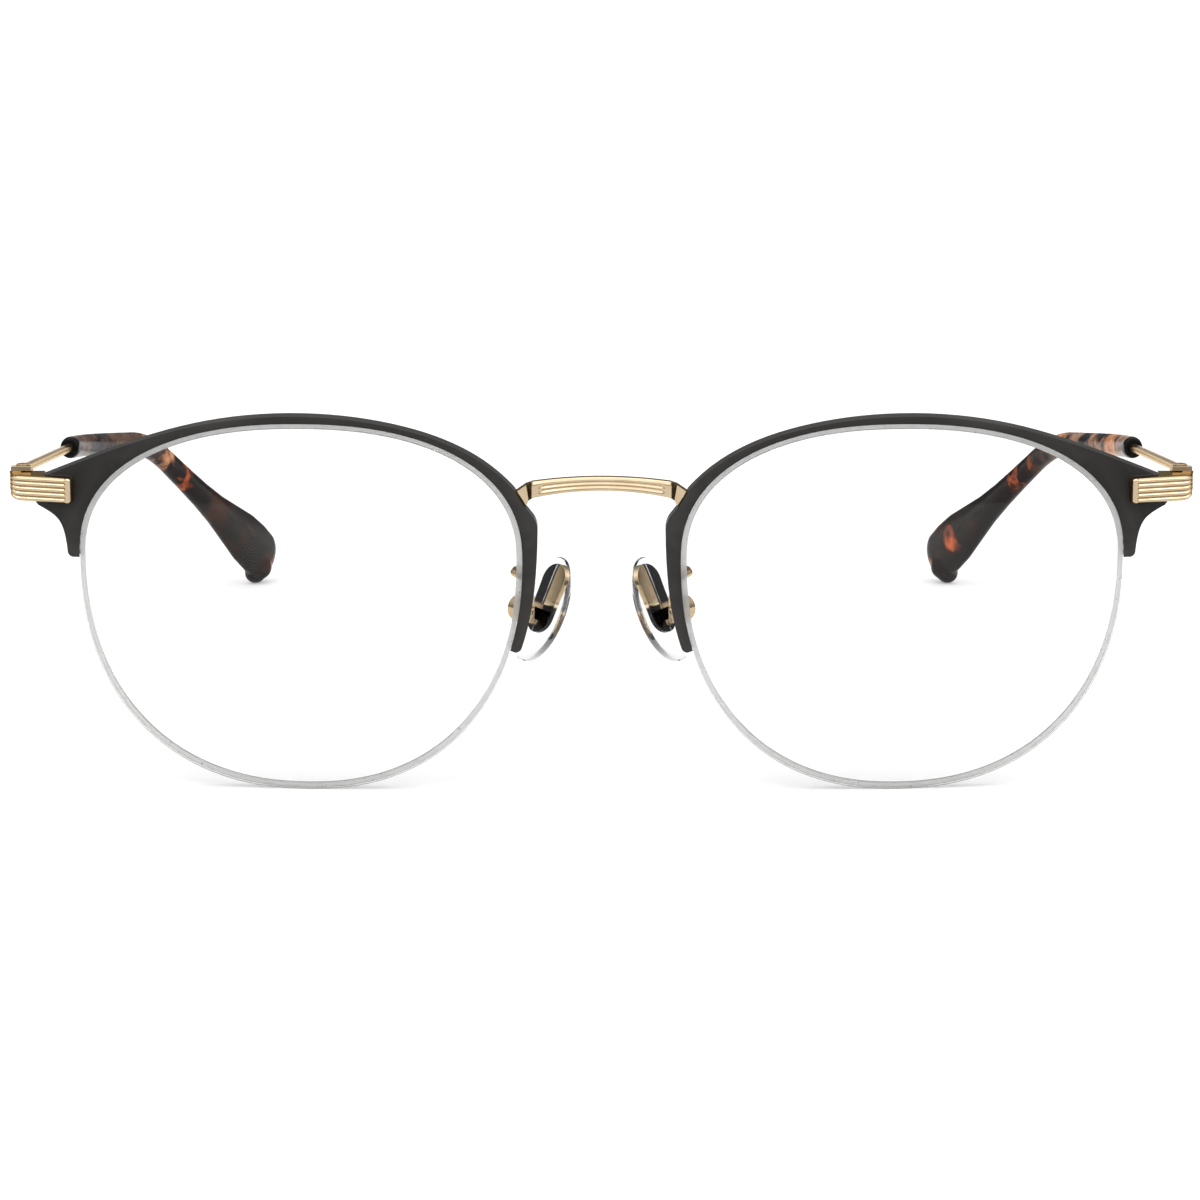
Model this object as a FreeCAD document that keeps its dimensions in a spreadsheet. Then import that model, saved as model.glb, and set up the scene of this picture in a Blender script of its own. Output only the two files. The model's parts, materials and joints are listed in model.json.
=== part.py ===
"""Half rim eyeglasses: metal browline front, wire temples, acetate tips, clear lenses.

The model is in millimetres. +X points to the wearer's left, +Y from the lenses back
towards the ears and +Z up. The glasses stand as on a table, on the lower lens edges and
the temple tips. Pieces are drawn in the front frame, whose origin is on the floor under
the bridge, level with the lens fronts, and front_y then moves them all so that the
origin is at the middle of the glasses' own floor area.

Every sided piece is drawn once, for the wearer's left, and mirrored for the right.
"""
import FreeCAD
import Part
import math
import os

Vector = FreeCAD.Vector
BACK = Vector(0, 1, 0)
UP = Vector(0, 0, 1)
OUTLINE_STEPS = 72

SIZES = {
    # whole object
    "front_y": -61.47,
    "view_depth": 24.0,
    # lens: 51 mm wide, 43 mm high, two joined half superellipses
    "lens_nasal_x": 9.1,
    "lens_temporal_x": 60.3,
    "lens_peak_x": 34.2,
    "lens_top_z": 43.0,
    "lens_widest_z": 27.4,
    "lens_exponent": 2.25,
    "lens_thickness": 2.0,
    "base_curve": 132.0,
    "base_centre_x": 25.7,
    "base_centre_z": 21.5,
    "groove_depth": 0.7,
    "groove_width": 0.6,
    # rim
    "rim_proud": 0.2,
    "channel_depth": 0.4,
    "channel_width": 1.2,
    "thread_size": 0.56,
    "thread_inset": 0.06,
    "hole_size": 0.7,
    "anchor_length": 1.25,
    # bridge
    "bridge_half": 8.0,
    "bridge_front_y": 0.1,
    "bridge_depth": 1.6,
    "flute_size": 0.7,
    "flute_depth": 0.16,
    # end piece
    "bar_height": 2.9,
    "bar_centre_z": 34.7,
    "bar_inner_x": 61.1,
    "bar_corner_x": 68.0,
    "bar_outer_x": 68.55,
    "bar_front_y": 4.36,
    "bar_slope": 16.6,
    "bar_corner_size": 1.1,
    "bar_back_y": 10.2,
    "rib_height": 0.24,
    "block_inner_x": 64.6,
    "block_front_y": 6.6,
    # hinge
    "hinge_x": 67.4,
    "hinge_y": 12.0,
    "hinge_z": 35.0,
    "temple_drop": 7.5,
    "knuckle_size": 2.3,
    "hinge_height": 2.7,
    "middle_height": 1.1,
    "hinge_gap": 0.05,
    "leaf_reach": 2.6,
    "leaf_inside": 0.4,
    "screw_size": 1.0,
    "screw_play": 0.04,
    "screw_head": 1.7,
    "screw_head_height": 0.3,
    "drive_width": 0.24,
    "drive_depth": 0.2,
    # temple and tip
    "wire_size": 1.1,
    "wire_x": 0.6,
    "wire_rise": 0.65,
    "wire_start": 2.6,
    "socket_size": 1.5,
    "socket_start": 1.6,
    "socket_length": 3.4,
    "tip_start": 54.6,
    "tip_width": 2.8,
    "tip_thickness": 2.6,
    "paddle_width": 6.8,
    "paddle_thickness": 2.9,
    "toe_size": 3.0,
    "toe_outward": 0.6,
    "toe_forward": 1.3,
    # nose pads
    "pad_x": 6.6,
    "pad_y": 9.0,
    "pad_z": 19.7,
    "pad_flare": 32.0,
    "pad_splay": 25.0,
    "pad_length": 13.0,
    "pad_width": 7.6,
    "pad_thickness": 2.3,
    "insert_thickness": 0.5,
    "insert_length": 8.4,
    "insert_width": 4.2,
    "eye_depth": 2.9,
    "eye_size": 1.9,
    "eye_thickness": 0.8,
    "insert_rise": 1.4,
    "stem_drop": 0.7,
    "stem_width": 1.4,
    "box_length": 2.5,
    "box_nose": 0.9,
    "box_height": 3.2,
    "box_width": 2.0,
    "box_slot": 1.0,
    "slot_top": 1.15,
    "pad_screw_size": 0.9,
    "pad_screw_head": 1.5,
    "arm_size": 0.8,
}

doc = FreeCAD.newDocument("HalfRimEyeglasses")
sheet = doc.addObject("Spreadsheet::Sheet", "Sizes")
for row, (alias, value) in enumerate(SIZES.items(), start=1):
    sheet.set("A%d" % row, alias)
    sheet.set("B%d" % row, str(value))
    sheet.setAlias("B%d" % row, alias)
doc.recompute()


def size(alias):
    """One driving dimension, read from the sheet."""
    return float(sheet.get(alias))


# ---------------------------------------------------------------- small helpers

def feature(name, shape):
    """A shape made in code, kept in the document."""
    item = doc.addObject("Part::Feature", name)
    item.Shape = shape
    return item


def bound(kind, name, placement=None, **expressions):
    """A Part primitive whose sizes are bound to the sheet."""
    item = doc.addObject("Part::" + kind, name)
    for key, expression in expressions.items():
        item.setExpression(key, expression)
    if placement is not None:
        item.Placement = placement
    return item


def cut(name, base, tool):
    item = doc.addObject("Part::Cut", name)
    item.Base = base
    item.Tool = tool
    return item


def common(name, base, tool):
    item = doc.addObject("Part::Common", name)
    item.Base = base
    item.Tool = tool
    return item


def fuse(name, *shapes):
    item = doc.addObject("Part::MultiFuse", name)
    item.Shapes = list(shapes)
    return item


def at(x, y, z, rotation=FreeCAD.Rotation()):
    return FreeCAD.Placement(Vector(x, y, z), rotation)


def front(x, z):
    """A point of the front view."""
    return Vector(x, 0, z)


def line(start, end):
    return Part.LineSegment(start, end).toShape()


def arc(start, middle, end):
    return Part.Arc(start, middle, end).toShape()


def curve(*points):
    """A smooth edge through the points."""
    spline = Part.BSplineCurve()
    spline.interpolate(Points=list(points))
    return spline.toShape()


def prism(name, wire):
    """A front-view outline run straight back through the whole front."""
    outline = feature(name + "_outline", Part.Face(wire))
    outline.Placement = at(0, -5, 0)
    item = doc.addObject("Part::Extrusion", name)
    item.Base = outline
    item.DirMode = "Custom"
    item.Dir = BACK
    item.Solid = True
    item.setExpression("LengthFwd", "Sizes.view_depth")
    return item


def shell(name, outer, inner):
    """The space between two balls about the lens's centre of curvature."""
    centre = at(size("base_centre_x"), size("base_curve"), size("base_centre_z"))
    outer_ball = bound("Sphere", name + "_outer", centre, Radius=outer)
    inner_ball = bound("Sphere", name + "_inner", centre, Radius=inner)
    return cut(name, outer_ball, inner_ball)


def rounded_path(points, radii):
    """Straight runs joined by tangent arcs, one radius for each inner point."""
    edges = []
    start = points[0]
    for before, corner, after, radius in zip(points, points[1:], points[2:], radii):
        inward = (corner - before).normalize()
        outward = (after - corner).normalize()
        half_turn = inward.getAngle(outward) / 2
        reach = radius * math.tan(half_turn)
        arc_start = corner - inward * reach
        arc_end = corner + outward * reach
        to_centre = (outward - inward).normalize()
        arc_middle = corner + to_centre * (radius / math.cos(half_turn) - radius)
        edges.append(line(start, arc_start))
        edges.append(arc(arc_start, arc_middle, arc_end))
        start = arc_end
    edges.append(line(start, points[-1]))
    return Part.Wire(edges)


def station(path, distance):
    """The point and direction on a path at a distance from its start."""
    for edge in path.Edges:
        if distance <= edge.Length:
            parameter = edge.getParameterByLength(distance)
            return edge.valueAt(parameter), edge.tangentAt(parameter)
        distance -= edge.Length
    last = path.Edges[-1]
    return last.valueAt(last.LastParameter), last.tangentAt(last.LastParameter)


def tube(name, path, diameter):
    """A round wire bent along a path."""
    point, direction = station(path, 0)
    ring = Part.Wire(Part.makeCircle(diameter / 2, point, direction))
    return feature(name, path.makePipeShell([ring], True, False))


nodes = []


def node(name, source):
    """Put a finished piece in the part's own frame under its node name."""
    item = doc.addObject("Part::Compound", name)
    item.Label = name
    item.Links = [source]
    item.setExpression("Placement.Base.y", "Sizes.front_y")
    nodes.append(item)


def pair(name, source):
    """The wearer's left piece and its mirror image on the right."""
    node("left_" + name, source)
    mirrored = doc.addObject("Part::Mirroring", name + "_mirrored")
    mirrored.Source = source
    mirrored.Base = Vector(0, 0, 0)
    mirrored.Normal = Vector(1, 0, 0)
    node("right_" + name, mirrored)


# ---------------------------------------------------------------- lens

def lens_outline(grow=0.0):
    """The lens edge in the front view, grown by a distance."""
    power = 2 / size("lens_exponent")
    points = []
    for step in range(OUTLINE_STEPS):
        angle = 2 * math.pi * step / OUTLINE_STEPS
        across = math.cos(angle)
        upward = math.sin(angle)
        side = size("lens_temporal_x") if across > 0 else size("lens_nasal_x")
        end = size("lens_top_z") if upward > 0 else 0.0
        reach_x = abs(side - size("lens_peak_x")) + grow
        reach_z = abs(end - size("lens_widest_z")) + grow
        x = size("lens_peak_x") + math.copysign(reach_x * abs(across) ** power, across)
        z = size("lens_widest_z") + math.copysign(reach_z * abs(upward) ** power, upward)
        points.append(front(x, z))
    spline = Part.BSplineCurve()
    spline.interpolate(Points=points, PeriodicFlag=True)
    return Part.Wire(spline.toShape())


GROOVE_MIDDLE = "Sizes.base_curve - Sizes.lens_thickness / 2"

lens_prism = prism("lens_prism", lens_outline())
lens_shell = shell("lens_shell", "Sizes.base_curve", "Sizes.base_curve - Sizes.lens_thickness")
lens_blank = common("lens_blank", lens_prism, lens_shell)

groove_shell = shell(
    "groove_shell",
    GROOVE_MIDDLE + " + Sizes.groove_width / 2",
    GROOVE_MIDDLE + " - Sizes.groove_width / 2",
)
groove_floor = prism("groove_floor", lens_outline(-size("groove_depth")))
groove_outside = prism("groove_outside", lens_outline(2.0))
groove_ring = cut("groove_ring", groove_outside, groove_floor)
groove = common("groove", groove_ring, groove_shell)
lens = cut("lens", lens_blank, groove)

# ---------------------------------------------------------------- rim

def rim_outline():
    """Both legs, the brow and the lug, closed by a chord across the lens."""
    leg_inside = front(13.0, 17.3)
    leg_toe = front(10.3, 16.62)
    leg_outside = front(9.2, 16.95)
    cheek = front(7.35, 30.5)
    corner_low = front(7.75, 32.1)
    corner_high = front(9.0, 33.7)
    brow_start = front(9.96, 35.3)
    lug_top = front(65.5, 35.65)
    lug_bottom = front(65.1, 32.75)
    temple_leg = front(61.68, 27.6)
    toe_end = front(60.9, 26.95)
    inside_end = front(57.0, 27.0)
    edges = [
        line(leg_inside, leg_toe),
        arc(leg_toe, front(9.6, 16.52), leg_outside),
        curve(leg_outside, front(8.05, 21.5), front(7.45, 27.0), cheek),
        arc(cheek, front(7.45, 31.4), corner_low),
        line(corner_low, corner_high),
        line(corner_high, brow_start),
        curve(
            brow_start,
            front(15.1, 39.45),
            front(24.0, 42.7),
            front(34.4, 43.85),
            front(46.2, 42.65),
            front(56.8, 39.3),
            lug_top,
        ),
        arc(lug_top, front(65.8, 34.1), lug_bottom),
        curve(lug_bottom, front(64.0, 32.2), front(62.75, 31.25), front(62.0, 29.6), temple_leg),
        arc(temple_leg, front(61.45, 27.1), toe_end),
        line(toe_end, inside_end),
        line(inside_end, leg_inside),
    ]
    return Part.Wire(edges)


rim_prism = prism("rim_prism", rim_outline())
rim_shell = shell(
    "rim_shell",
    "Sizes.base_curve + Sizes.rim_proud",
    "Sizes.base_curve - Sizes.lens_thickness - Sizes.rim_proud",
)
rim_blank = common("rim_blank", rim_prism, rim_shell)
rim_open = cut("rim_open", rim_blank, lens_prism)

channel_shell = shell(
    "channel_shell",
    GROOVE_MIDDLE + " + Sizes.channel_width / 2",
    GROOVE_MIDDLE + " - Sizes.channel_width / 2",
)
channel_outside = prism("channel_outside", lens_outline(size("channel_depth")))
channel_ring = cut("channel_ring", channel_outside, lens_prism)
channel = common("channel", channel_ring, channel_shell)

# The liner fills channel and groove above this line, and the thread fills the groove below.
above_split = prism("above_split", Part.makePolygon([
    front(4.0, 19.0), front(66.0, 30.6), front(66.0, 50.0), front(4.0, 50.0), front(4.0, 19.0),
]))
liner_channel = common("liner_channel", channel, above_split)

tight_ring = cut("tight_ring", lens_prism, groove_floor)
tight_groove = common("tight_groove", tight_ring, groove_shell)
groove_fill = common("groove_fill", tight_groove, above_split)
liner = fuse("liner", liner_channel, groove_fill)

# ---------------------------------------------------------------- thread

thread_shell = shell(
    "thread_shell",
    GROOVE_MIDDLE + " + Sizes.thread_size / 2",
    GROOVE_MIDDLE + " - Sizes.thread_size / 2",
)
thread_outside = prism("thread_outside", lens_outline(-size("thread_inset")))
thread_floor = prism("thread_floor", lens_outline(-size("thread_inset") - size("thread_size")))
thread_band = cut("thread_band", thread_outside, thread_floor)
thread_ring = common("thread_ring", thread_band, thread_shell)
thread_loop = cut("thread_loop", thread_ring, above_split)


def thread_anchors(name, edge_x, outward, heights):
    """Two blind holes in a rim leg that hold the end of the thread."""
    radius = size("base_curve") - size("lens_thickness") / 2
    start_x = edge_x - outward * size("groove_depth") / 2
    off_x = start_x - size("base_centre_x")
    stubs = []
    holes = []
    for index, z in enumerate(heights):
        off_z = z - size("base_centre_z")
        to_centre = math.sqrt(radius ** 2 - off_x ** 2 - off_z ** 2)
        direction = Vector(outward, outward * off_x / to_centre, 0)
        place = at(start_x, size("base_curve") - to_centre, z, FreeCAD.Rotation(UP, direction))
        for kind, diameter, found in (("stub", "thread_size", stubs), ("hole", "hole_size", holes)):
            item = bound("Cylinder", "%s_%s_%d" % (name, kind, index), place,
                         Radius="Sizes.%s / 2" % diameter, Height="Sizes.anchor_length")
            found.append(item)
    return stubs, holes


nasal_stubs, nasal_holes = thread_anchors("nasal", 10.0, -1, (17.9, 19.1))
temporal_stubs, temporal_holes = thread_anchors("temporal", 60.3, 1, (27.9, 29.1))
thread_holes = fuse("thread_holes", *nasal_holes, *temporal_holes)
thread = fuse("thread", thread_loop, *nasal_stubs, *temporal_stubs)
rim_bored = cut("rim_bored", rim_open, thread_holes)
rim = cut("rim", rim_bored, channel)

# ---------------------------------------------------------------- bridge

def bridge_bar():
    half = size("bridge_half")
    wire = Part.Wire([
        arc(front(-half, 36.59), front(0, 37.16), front(half, 36.59)),
        line(front(half, 36.59), front(half, 34.68)),
        arc(front(half, 34.68), front(0, 35.55), front(-half, 34.68)),
        line(front(-half, 34.68), front(-half, 36.59)),
    ])
    face = feature("bridge_face", Part.Face(wire))
    face.setExpression("Placement.Base.y", "Sizes.bridge_front_y")
    item = doc.addObject("Part::Extrusion", "bridge_bar")
    item.Base = face
    item.DirMode = "Custom"
    item.Dir = BACK
    item.Solid = True
    item.setExpression("LengthFwd", "Sizes.bridge_depth")
    return item


def flute(name, centre_z, radius):
    """A shallow round groove along the bar's front."""
    reach = size("bridge_half") - 1.2
    turn = math.degrees(math.asin(reach / radius))
    y = size("bridge_front_y") - size("flute_size") / 2 + size("flute_depth")
    middle = Vector(0, y, centre_z - radius)
    rotation = FreeCAD.Rotation(Vector(1, 0, 0), 90)
    turned = rotation.multiply(FreeCAD.Rotation(UP, 90 - turn))
    ring = bound("Torus", name, FreeCAD.Placement(middle, turned), Radius2="Sizes.flute_size / 2")
    ring.Radius1 = radius
    ring.Angle3 = 2 * turn
    return ring


def neck(side):
    """The step from the bar's end back and down to the rim's slanted edge."""
    def section(top, bottom, y_front, y_back):
        corners = [Vector(side * x, y, z) for (x, z), y in (
            (top, y_front), (top, y_back), (bottom, y_back), (bottom, y_front))]
        return Part.makePolygon(corners + corners[:1])
    bar_y = size("bridge_front_y")
    bar_end = section((7.9, 36.58), (7.9, 34.70), bar_y + 0.1, bar_y + 1.5)
    step = section((8.6, 36.05), (7.98, 34.25), 1.25, 2.95)
    edge = section((10.0, 35.0), (8.5, 33.3), 1.75, 3.5)
    return Part.makeLoft([bar_end, step, edge], True, True)


flutes = fuse("flutes", flute("flute_upper", 36.62, 45.0), flute("flute_lower", 36.06, 41.0))
bar = cut("fluted_bar", bridge_bar(), flutes)
necks = [feature("neck_left", neck(1)), feature("neck_right", neck(-1))]
bridge_blank = fuse("bridge_blank", bar, *necks)
rim_mirror = doc.addObject("Part::Mirroring", "rim_mirror")
rim_mirror.Source = rim_blank
rim_mirror.Normal = Vector(1, 0, 0)
bridge_trimmed = cut("bridge_trimmed", bridge_blank, rim_blank)
bridge = cut("fitted_bridge", bridge_trimmed, rim_mirror)

# ---------------------------------------------------------------- end piece

def ribbed_bar():
    """Five rounded ribs that run along the front and wrap round the corner."""
    slope = math.radians(size("bar_slope"))
    radius = size("bar_corner_size")
    start = Vector(size("bar_inner_x"), size("bar_front_y"), 0)
    corner_x = size("bar_corner_x")
    run = (corner_x - start.x) * math.tan(slope)
    corner = Vector(corner_x, start.y + run, 0)
    end = Vector(size("bar_outer_x"), size("bar_back_y"), 0)
    path = rounded_path([start, corner, end], [radius])
    height = size("bar_height")
    rib = height / 5
    low = size("bar_centre_z") - height / 2
    inside_y = start.y + radius - 0.05
    edges = [line(Vector(start.x, inside_y, low), Vector(start.x, start.y, low))]
    for index in range(5):
        z = low + index * rib
        edges.append(arc(
            Vector(start.x, start.y, z),
            Vector(start.x, start.y - size("rib_height"), z + rib / 2),
            Vector(start.x, start.y, z + rib),
        ))
    top = low + height
    edges.append(line(Vector(start.x, start.y, top), Vector(start.x, inside_y, top)))
    edges.append(line(Vector(start.x, inside_y, top), Vector(start.x, inside_y, low)))
    return path.makePipeShell([Part.Wire(edges)], True, False)


ribs = feature("ribbed_bar", ribbed_bar())
block_corner = at(size("block_inner_x"), size("block_front_y"),
                  size("bar_centre_z") - size("bar_height") / 2)
block = bound("Box", "end_block", block_corner, Height="Sizes.bar_height",
              Length="Sizes.bar_corner_x - Sizes.block_inner_x",
              Width="Sizes.bar_back_y - Sizes.block_front_y")
endpiece_blank = fuse("endpiece_blank", ribs, block)
endpiece = cut("endpiece", endpiece_blank, rim_blank)

# ---------------------------------------------------------------- hinge

TILT = FreeCAD.Rotation(Vector(1, 0, 0), -size("temple_drop"))
HINGE = at(size("hinge_x"), size("hinge_y"), size("hinge_z"), TILT)


def in_hinge(x, along, up):
    """A place in the hinge's own axes: outwards, along the temple, along the pin."""
    return HINGE.multiply(at(x, along, up))


def knuckle(name, low, height):
    item = bound("Cylinder", name, in_hinge(0, 0, low), Radius="Sizes.knuckle_size / 2")
    item.Height = height
    return item


def leaf(name, x, along, low, dims):
    item = bound("Box", name, in_hinge(x, along, low))
    item.Length, item.Width, item.Height = dims
    return item


half_height = size("hinge_height") / 2
half_middle = size("middle_height") / 2
ear_height = half_height - half_middle
pieces = []
for name, low in (("upper", half_middle), ("lower", -half_height)):
    pieces.append(knuckle(name + "_knuckle", low, ear_height))
    pieces.append(leaf(name + "_leaf", -size("knuckle_size") / 2, -size("leaf_reach"), low,
                       (size("knuckle_size"), size("leaf_reach"), ear_height)))
pin_hole = bound("Cylinder", "pin_hole", in_hinge(0, 0, -half_height - 1),
                 Radius="Sizes.screw_size / 2", Height="Sizes.hinge_height + 2")
hinge_front_blank = cut("hinge_front_blank", fuse("hinge_ears", *pieces), endpiece)
hinge_front = cut("hinge_front", hinge_front_blank, pin_hole)

middle_low = -half_middle + size("hinge_gap")
middle_high = size("middle_height") - 2 * size("hinge_gap")
ALONG_TEMPLE = FreeCAD.Rotation(Vector(1, 0, 0), -90)
socket_place = HINGE.multiply(
    at(size("wire_x"), size("socket_start"), size("wire_rise"), ALONG_TEMPLE))
socket = bound("Cylinder", "wire_socket", socket_place, Radius="Sizes.socket_size / 2",
               Height="Sizes.socket_length")
temple_hole = bound("Cylinder", "temple_hole", in_hinge(0, 0, -half_height),
                    Radius="Sizes.screw_size / 2 + Sizes.screw_play",
                    Height="Sizes.hinge_height")
leaf_outside = size("wire_x") + size("socket_size") / 2
temple_leaf = leaf("temple_leaf", -size("leaf_inside"), 0, middle_low,
                   (size("leaf_inside") + leaf_outside, size("leaf_reach"), middle_high))
hinge_temple_blank = fuse("hinge_temple_blank", knuckle("middle_knuckle", middle_low, middle_high),
                          temple_leaf, socket)
hinge_temple_bored = cut("hinge_temple_bored", hinge_temple_blank, temple_hole)


def slotted_screw(name, body_length, diameter, head, head_height, placement):
    """A turned screw with a rounded, slotted head: z = 0 is under the head."""
    body = doc.addObject("PartDesign::Body", name)
    planes = {item.Role: item for item in body.Origin.OriginFeatures}
    profile = body.newObject("Sketcher::SketchObject", name + "_profile")
    profile.AttachmentSupport = [(planes["XZ_Plane"], "")]
    profile.MapMode = "FlatFace"
    shaft = size(diameter) / 2
    cap = size(head) / 2
    rise = size(head_height)
    rim_height = rise * 0.45
    shoulder = Vector(cap, rim_height, 0)
    crown = Vector(0, rise, 0)
    dome_radius = (cap ** 2 + (rise - rim_height) ** 2) / (2 * (rise - rim_height))
    dome_centre = Vector(0, rise - dome_radius, 0)
    start_angle = math.atan2(shoulder.y - dome_centre.y, shoulder.x)
    outline = [Vector(0, rise, 0), Vector(0, -body_length, 0), Vector(shaft, -body_length, 0),
               Vector(shaft, 0, 0), Vector(cap, 0, 0), shoulder]
    for first, second in zip(outline, outline[1:]):
        profile.addGeometry(Part.LineSegment(first, second), False)
    profile.addGeometry(Part.ArcOfCircle(
        Part.Circle(dome_centre, UP, dome_radius), start_angle, math.pi / 2), False)
    turned = body.newObject("PartDesign::Revolution", name + "_turned")
    turned.Profile = profile
    turned.ReferenceAxis = (profile, ["V_Axis"])
    turned.Angle = 360
    body.Tip = turned
    slot_corner = at(-cap - 1, -size("drive_width") / 2, rise - size("drive_depth"))
    slot = bound("Box", name + "_slot", slot_corner, Width="Sizes.drive_width",
                 Length="Sizes.%s + 2" % head, Height="Sizes.%s" % head_height)
    screw = cut(name + "_slotted", body, slot)
    screw.Placement = placement
    return screw


hinge_screw = slotted_screw("hinge_screw", size("hinge_height"), "screw_size", "screw_head",
                            "screw_head_height", in_hinge(0, 0, half_height))

# ---------------------------------------------------------------- temple wire and tip

TEMPLE_POINTS = (
    (size("wire_x"), size("wire_start"), size("wire_rise")),
    (0.15, 62.0, size("wire_rise")),
    (-7.2, 84.5, -0.1),
    (-20.6, 111.3, -17.05),
)
BEND_RADII = (60.0, 22.0)
CORE_SHARE = 0.72


def temple_points(last_share=1.0):
    """The temple's bends, with the last run cut to a share of its length."""
    points = [HINGE.multVec(Vector(*point)) for point in TEMPLE_POINTS]
    points[3] = points[2] + (points[3] - points[2]) * last_share
    return points


temple_path = rounded_path(temple_points(), BEND_RADII)
core_path = rounded_path(temple_points(CORE_SHARE), BEND_RADII)
temple_wire = tube("temple_wire", core_path, size("wire_size"))
hinge_temple = cut("hinge_temple", hinge_temple_bored, temple_wire)


def tip_section(index, distance, width, thickness):
    """One ellipse across the tip, its long axis as near upright as it can be."""
    point, direction = station(temple_path, distance)
    beyond = distance - temple_path.Length
    if beyond > 0:
        point = point + direction * beyond
    upright = (UP - direction * UP.dot(direction)).normalize()
    item = doc.addObject("Part::Ellipse", "tip_section_%d" % index)
    item.MajorRadius = width / 2
    item.MinorRadius = thickness / 2
    item.Placement = FreeCAD.Placement(point, FreeCAD.Rotation(upright, Vector(), direction, "ZXY"))
    return item


def tip_sizes():
    """Distance along the temple, width and thickness of each section of the tip."""
    tip_end = temple_path.Length
    start = size("tip_start") - size("wire_start")
    slim = size("tip_width")
    wide = size("paddle_width")
    thin = size("tip_thickness")
    rows = [(start + step * 4.0, slim + 0.03 * step, thin) for step in range(7)]
    paddle = ((28.5, 0.04), (24.0, 0.09), (19.0, 0.18), (14.4, 0.33), (9.7, 0.62), (5.0, 0.94))
    for from_end, share in paddle:
        rows.append((tip_end - from_end, slim + (wide - slim) * share, thin + 0.3 * share))
    rows.append((tip_end, wide, size("paddle_thickness")))
    rows.append((tip_end + 1.4, wide * 0.86, size("paddle_thickness") * 0.86))
    rows.append((tip_end + 2.3, wide * 0.62, size("paddle_thickness") * 0.6))
    return rows


tip_loft = doc.addObject("Part::Loft", "tip_loft")
tip_loft.Sections = [tip_section(index, *row) for index, row in enumerate(tip_sizes())]
tip_loft.Solid = True
toe_point = HINGE.multVec(Vector(*TEMPLE_POINTS[3]))
toe_point += Vector(size("toe_outward"), -size("toe_forward"), 0)
toe_point.z = size("toe_size") / 2
toe = bound("Sphere", "tip_toe", FreeCAD.Placement(toe_point, FreeCAD.Rotation()),
            Radius="Sizes.toe_size / 2")
tip_blank = fuse("tip_blank", tip_loft, toe)
tip = cut("tip", tip_blank, temple_wire)

# ---------------------------------------------------------------- nose pads

flare = math.radians(size("pad_flare"))
splay = math.radians(size("pad_splay"))
PAD_FORWARD = Vector(-math.sin(flare), -math.cos(flare), 0)
LEVEL_INWARD = Vector(-math.cos(flare), math.sin(flare), 0)
PAD_UPWARD = UP * math.cos(splay) + LEVEL_INWARD * math.sin(splay)
PAD_INWARD = LEVEL_INWARD * math.cos(splay) - UP * math.sin(splay)
PAD = FreeCAD.Placement(
    Vector(size("pad_x"), size("pad_y"), size("pad_z")),
    FreeCAD.Rotation(PAD_FORWARD, PAD_UPWARD, PAD_INWARD, "ZXY"),
)


def in_pad(across, along, inward, rotation=FreeCAD.Rotation()):
    """A place in the pad's own axes: forwards, up its length, towards the nose."""
    return PAD.multiply(at(across, along, inward, rotation))


PAD_STEPS = 24
# Level through the thickness, and size at that level, of each layer.
PAD_LAYERS = ((-0.5, 0.66), (-0.36, 0.9), (0.0, 1.0), (0.3, 0.93), (0.5, 0.62))


def pad_outline(level, shrink):
    """One layer of the pad: an egg, wider towards its lower end."""
    points = []
    for step in range(PAD_STEPS):
        angle = 2 * math.pi * step / PAD_STEPS
        widen = 1.04 - 0.08 * math.sin(angle)
        across = size("pad_width") / 2 * math.cos(angle) * widen * shrink
        along = size("pad_length") / 2 * math.sin(angle) * (0.55 + 0.45 * shrink)
        points.append(Vector(across, along, level * size("pad_thickness")))
    spline = Part.BSplineCurve()
    spline.interpolate(Points=points, PeriodicFlag=True)
    return Part.Wire(spline.toShape())


pad_solid = feature("pad_solid", Part.makeLoft([pad_outline(*row) for row in PAD_LAYERS], True))
pad_solid.Placement = PAD

# The metal insert: a long plate inside the pad, a stem and an eye for the pad screw.
CROSS = FreeCAD.Rotation(Vector(0, 1, 0), 90)
half_plate = size("insert_thickness") / 2
half_insert = size("insert_width") / 2
rise = size("insert_rise")
round_centre = size("insert_length") / 2 - half_insert
plate_parts = []
for name, along in (("insert_top", rise + round_centre), ("insert_bottom", rise - round_centre)):
    plate_parts.append(bound("Cylinder", name, in_pad(0, along, -half_plate),
                             Radius="Sizes.insert_width / 2", Height="Sizes.insert_thickness"))
plate_parts.append(bound(
    "Box", "insert_plate", in_pad(-half_insert, rise - round_centre, -half_plate),
    Length="Sizes.insert_width", Width="Sizes.insert_length - Sizes.insert_width",
    Height="Sizes.insert_thickness"))
half_eye = size("eye_thickness") / 2
EYE = in_pad(0, -size("stem_drop"), -size("eye_depth"))
eye = bound("Cylinder", "insert_eye", EYE.multiply(at(-half_eye, 0, 0, CROSS)),
            Radius="Sizes.eye_size / 2", Height="Sizes.eye_thickness")
stem = bound("Box", "insert_stem", EYE.multiply(at(-half_eye, -size("stem_width") / 2, 0)),
             Length="Sizes.eye_thickness", Width="Sizes.stem_width", Height="Sizes.eye_depth")
eye_hole = bound("Cylinder", "eye_hole", EYE.multiply(at(-half_eye - 1, 0, 0, CROSS)),
                 Radius="Sizes.pad_screw_size / 2 + Sizes.screw_play",
                 Height="Sizes.eye_thickness + 2")
insert_blank = fuse("insert_blank", eye, stem, *plate_parts)
insert = cut("insert", insert_blank, eye_hole)
pad = cut("pad", pad_solid, insert_blank)

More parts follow.
